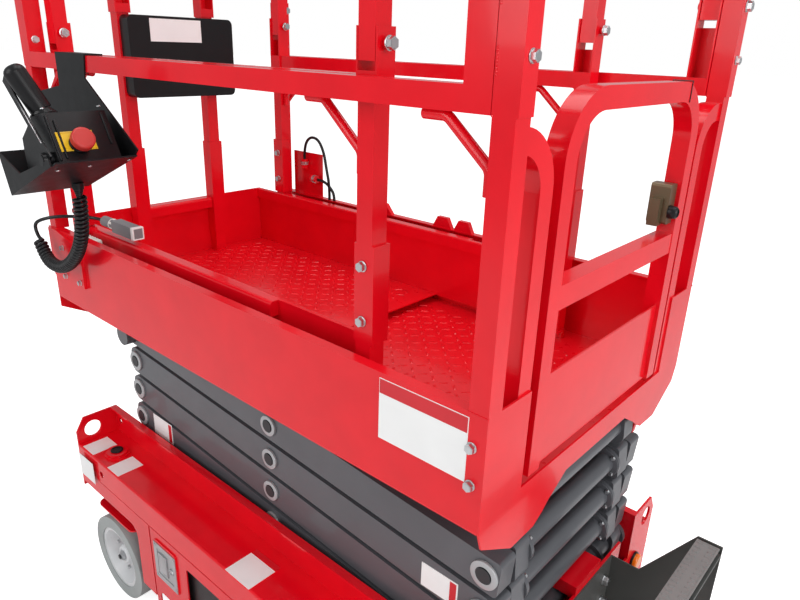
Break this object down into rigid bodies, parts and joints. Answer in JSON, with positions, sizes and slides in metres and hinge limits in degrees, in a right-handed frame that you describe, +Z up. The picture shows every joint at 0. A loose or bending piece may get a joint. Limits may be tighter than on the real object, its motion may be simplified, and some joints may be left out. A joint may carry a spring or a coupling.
{
  "type": "scissor lift",
  "caption": "Compact electric scissor lift: a folding arm stack raises a guard-railed platform with a roll-out deck, on a chassis with steered front wheels.",
  "frame": {"origin": "on the floor, midway between the axles, in the machine's middle plane", "axes": "+X towards the entry ladder at the rear, +Y to the machine's left as the ladder is behind, +Z up"},
  "size_m": [1.48, 0.896, 1.92],
  "materials": {
    "red_paint": "glossy",
    "grey_paint": "satin",
    "bright_steel": "satin",
    "tyre_rubber": "matte",
    "ladder_grey": "satin",
    "black_plastic": "matte",
    "lamp_orange": "glossy",
    "button_red": "satin",
    "white_nylon": "matte",
    "rim_white": "glossy"
  },
  "bodies": {
    "chassis": {"chassis_tub": "red_paint", "side_skirts": "red_paint", "scissor_base": "grey_paint", "axle_supports": "grey_paint", "ladder": "ladder_grey", "side_lamp": "lamp_orange"},
    "wheel_front_right": {"tyre_front_right": "tyre_rubber", "rim_front_right": "rim_white"},
    "wheel_front_left": {"tyre_front_left": "tyre_rubber", "rim_front_left": "rim_white"},
    "wheel_rear_right": {"tyre_rear_right": "tyre_rubber", "rim_rear_right": "rim_white"},
    "wheel_rear_left": {"tyre_rear_left": "tyre_rubber", "rim_rear_left": "rim_white"},
    "knuckle_right": {"knuckle_right": "red_paint"},
    "knuckle_left": {"knuckle_left": "red_paint"},
    "tie_rod": {"tie_rod": "bright_steel"},
    "outer_1": {"outer_arms_1": "grey_paint"},
    "inner_1": {"inner_arms_1": "grey_paint"},
    "outer_2": {"outer_arms_2": "grey_paint"},
    "inner_2": {"inner_arms_2": "grey_paint"},
    "outer_3": {"outer_arms_3": "grey_paint"},
    "inner_3": {"inner_arms_3": "grey_paint"},
    "outer_4": {"outer_arms_4": "grey_paint"},
    "inner_4": {"inner_arms_4": "grey_paint"},
    "barrel": {"lift_barrel": "grey_paint"},
    "rod": {"lift_rod": "bright_steel"},
    "platform": {"platform_deck": "red_paint", "side_panels": "red_paint", "end_plates": "red_paint", "main_rails_lower": "red_paint", "control_box": "black_plastic", "control_bracket": "black_plastic", "joystick": "black_plastic", "stop_button": "button_red", "coil_cord": "black_plastic", "lead_cord": "black_plastic", "cord_plug": "white_nylon", "outlet_plate": "red_paint", "outlet_cables": "black_plastic", "nylon_slider": "white_nylon"},
    "extension": {"ext_deck": "red_paint", "ext_toe_boards": "red_paint", "ext_rails_lower": "red_paint", "ext_front_posts": "red_paint", "document_box": "black_plastic"},
    "gate": {"gate": "red_paint", "gate_latch": "bright_steel"},
    "near_rail": {"main_rail_upper_right": "red_paint"},
    "near_ext": {"ext_rail_upper_right": "red_paint"},
    "far_rail": {"main_rail_upper_left": "red_paint"},
    "far_ext": {"ext_rail_upper_left": "red_paint"},
    "front_rail": {"ext_rail_upper_front": "red_paint"},
    "rear_rail": {"rear_rail_upper": "red_paint"},
    "door_right": {"side_door_right": "red_paint", "battery_right": "black_plastic"},
    "door_left": {"side_door_left": "red_paint", "battery_left": "black_plastic"}
  },
  "joints": [
    {"name": "lift", "type": "hinge", "parent": "chassis", "child": "outer_1", "pos_m": [0.565, 0, 0.405], "axis": [0, 1, 0], "range_deg": [0, 49]},
    {"name": "centre_1", "type": "hinge", "parent": "outer_1", "child": "inner_1", "pos_m": [0.038, 0, 0.444], "axis": [0, 1, 0], "range_deg": [-98, 0]},
    {"name": "end_2", "type": "hinge", "parent": "inner_1", "child": "outer_2", "pos_m": [0.565, 0, 0.483], "axis": [0, 1, 0], "range_deg": [0, 98]},
    {"name": "centre_2", "type": "hinge", "parent": "outer_2", "child": "inner_2", "pos_m": [0.038, 0, 0.522], "axis": [0, 1, 0], "range_deg": [-98, 0]},
    {"name": "end_3", "type": "hinge", "parent": "inner_2", "child": "outer_3", "pos_m": [0.565, 0, 0.561], "axis": [0, 1, 0], "range_deg": [0, 98]},
    {"name": "centre_3", "type": "hinge", "parent": "outer_3", "child": "inner_3", "pos_m": [0.038, 0, 0.6], "axis": [0, 1, 0], "range_deg": [-98, 0]},
    {"name": "end_4", "type": "hinge", "parent": "inner_3", "child": "outer_4", "pos_m": [0.565, 0, 0.639], "axis": [0, 1, 0], "range_deg": [0, 98]},
    {"name": "centre_4", "type": "hinge", "parent": "outer_4", "child": "inner_4", "pos_m": [0.038, 0, 0.678], "axis": [0, 1, 0], "range_deg": [-98, 0]},
    {"name": "platform_level", "type": "hinge", "parent": "inner_4", "child": "platform", "pos_m": [0.565, 0, 0.717], "axis": [0, 1, 0], "range_deg": [0, 49]},
    {"name": "barrel_pivot", "type": "hinge", "parent": "chassis", "child": "barrel", "pos_m": [-0.45, 0, 0.33], "axis": [0, -1, 0], "range_deg": [0, 18.83]},
    {"name": "rod_slide", "type": "slide", "parent": "barrel", "child": "rod", "axis": [0.9379, 0, 0.3468], "range_m": [0, 0.32795]},
    {"name": "steer_left", "type": "hinge", "parent": "chassis", "child": "knuckle_left", "pos_m": [-0.4655, 0.28, 0.115], "axis": [0, 0, 1], "range_deg": [-30, 30]},
    {"name": "steer_right", "type": "hinge", "parent": "chassis", "child": "knuckle_right", "pos_m": [-0.4655, -0.28, 0.115], "axis": [0, 0, 1], "range_deg": [-30, 30]},
    {"name": "tie_rod_turn", "type": "hinge", "parent": "knuckle_left", "child": "tie_rod", "pos_m": [-0.3815, 0.28, 0.08], "axis": [0, 0, 1], "range_deg": [-30, 30]},
    {"name": "roll_front_right", "type": "hinge", "parent": "knuckle_right", "child": "wheel_front_right", "pos_m": [-0.4655, -0.34, 0.115], "axis": [0, 1, 0], "continuous": true},
    {"name": "roll_front_left", "type": "hinge", "parent": "knuckle_left", "child": "wheel_front_left", "pos_m": [-0.4655, 0.34, 0.115], "axis": [0, 1, 0], "continuous": true},
    {"name": "roll_rear_right", "type": "hinge", "parent": "chassis", "child": "wheel_rear_right", "pos_m": [0.4655, -0.34, 0.115], "axis": [0, 1, 0], "continuous": true},
    {"name": "roll_rear_left", "type": "hinge", "parent": "chassis", "child": "wheel_rear_left", "pos_m": [0.4655, 0.34, 0.115], "axis": [0, 1, 0], "continuous": true},
    {"name": "extension_slide", "type": "slide", "parent": "platform", "child": "extension", "axis": [-1, 0, 0], "range_m": [0, 0.6]},
    {"name": "gate_swing", "type": "hinge", "parent": "platform", "child": "gate", "pos_m": [0.58, -0.2435, 1.1], "axis": [0, 0, 1], "range_deg": [0, 90]},
    {"name": "near_rail_fold", "type": "hinge", "parent": "platform", "child": "near_rail", "pos_m": [-0.03, -0.339, 1.514], "axis": [-1, 0, 0], "range_deg": [0, 90]},
    {"name": "near_ext_fold", "type": "hinge", "parent": "extension", "child": "near_ext", "pos_m": [-0.104, -0.299, 1.4], "axis": [-1, 0, 0], "range_deg": [0, 90]},
    {"name": "far_rail_fold", "type": "hinge", "parent": "platform", "child": "far_rail", "pos_m": [-0.03, 0.339, 1.478], "axis": [1, 0, 0], "range_deg": [0, 90]},
    {"name": "far_ext_fold", "type": "hinge", "parent": "extension", "child": "far_ext", "pos_m": [-0.104, 0.299, 1.436], "axis": [1, 0, 0], "range_deg": [0, 90]},
    {"name": "front_rail_fold", "type": "hinge", "parent": "extension", "child": "front_rail", "pos_m": [-0.657, 0, 1.55], "axis": [0, 1, 0], "range_deg": [0, 90]},
    {"name": "rear_rail_fold", "type": "hinge", "parent": "platform", "child": "rear_rail", "pos_m": [0.593, 0, 1.55], "axis": [0, -1, 0], "range_deg": [0, 90]},
    {"name": "door_right_swing", "type": "hinge", "parent": "chassis", "child": "door_right", "pos_m": [0.2605, -0.3843, 0.21], "axis": [0, 0, 1], "range_deg": [0, 90]},
    {"name": "door_left_swing", "type": "hinge", "parent": "chassis", "child": "door_left", "pos_m": [0.2605, 0.3843, 0.21], "axis": [0, 0, -1], "range_deg": [0, 90]}
  ],
  "couplings": [
    {"joint": "centre_1", "follows": "lift", "ratio": -2},
    {"joint": "end_2", "follows": "lift", "ratio": 2},
    {"joint": "centre_2", "follows": "lift", "ratio": -2},
    {"joint": "end_3", "follows": "lift", "ratio": 2},
    {"joint": "centre_3", "follows": "lift", "ratio": -2},
    {"joint": "end_4", "follows": "lift", "ratio": 2},
    {"joint": "centre_4", "follows": "lift", "ratio": -2},
    {"joint": "platform_level", "follows": "lift", "ratio": 1},
    {"joint": "barrel_pivot", "follows": "lift", "ratio": 0.384},
    {"joint": "rod_slide", "follows": "lift", "m_per_rad": 0.38335},
    {"joint": "steer_right", "follows": "steer_left", "ratio": 1},
    {"joint": "tie_rod_turn", "follows": "steer_left", "ratio": -1},
    {"joint": "near_ext_fold", "follows": "near_rail_fold", "ratio": 1},
    {"joint": "far_ext_fold", "follows": "far_rail_fold", "ratio": 1}
  ]
}
